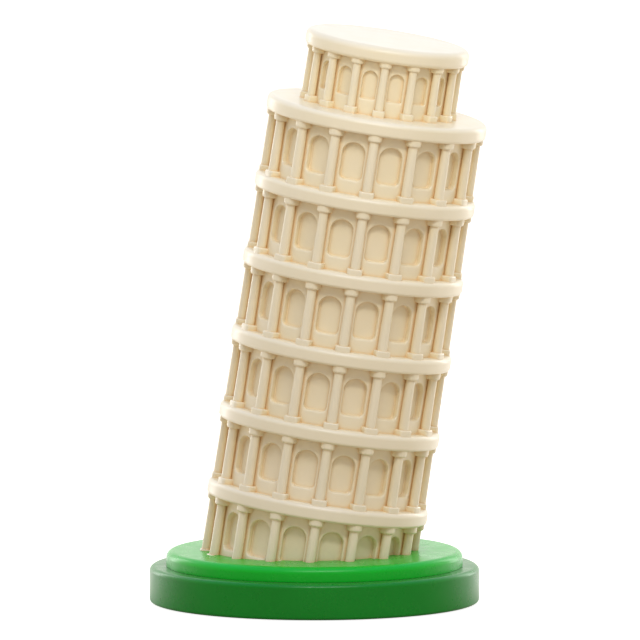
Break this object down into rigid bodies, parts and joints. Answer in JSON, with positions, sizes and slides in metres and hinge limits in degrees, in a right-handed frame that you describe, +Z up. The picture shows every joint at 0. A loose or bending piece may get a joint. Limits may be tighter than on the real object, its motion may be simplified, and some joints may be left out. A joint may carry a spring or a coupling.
{
  "type": "miniature leaning bell tower",
  "caption": "Round bell tower, tier on tier of columns and blind arches, leaning on a stepped round plinth; a desk ornament that rests on its flat underside.",
  "frame": {"origin": "centre of the flat underside, on the surface the ornament stands on", "axes": "+Z up; the tower leans towards +X in the XZ plane; the front faces -Y"},
  "size_m": [0.0817, 0.0798, 0.1403],
  "materials": {
    "cream_resin": "smooth satin, warm cream",
    "dark_green": "smooth satin, dark green",
    "bright_green": "smooth satin, bright green",
    "steel": "bright zinc plated",
    "beech": "plain turned beech",
    "black_rubber": "matt"
  },
  "bodies": {
    "root": {"anti_slip_disc": "black_rubber", "lower_plinth": "dark_green", "upper_plinth": "bright_green", "plinth_screw_1": "steel", "plinth_screw_2": "steel", "plinth_screw_3": "steel", "storey_1": "cream_resin", "cornice_1": "cream_resin", "dowel_1": "beech", "storey_2": "cream_resin", "cornice_2": "cream_resin", "dowel_2": "beech", "storey_3": "cream_resin", "cornice_3": "cream_resin", "dowel_3": "beech", "storey_4": "cream_resin", "cornice_4": "cream_resin", "dowel_4": "beech", "storey_5": "cream_resin", "cornice_5": "cream_resin", "dowel_5": "beech", "storey_6": "cream_resin", "cornice_6": "cream_resin", "dowel_6": "beech", "belfry": "cream_resin", "belfry_roof": "cream_resin", "roof_dowel": "beech", "tie_bolt": "steel", "head_washer": "steel", "nut_washer": "steel", "tie_nut": "steel"}
  },
  "joints": []
}
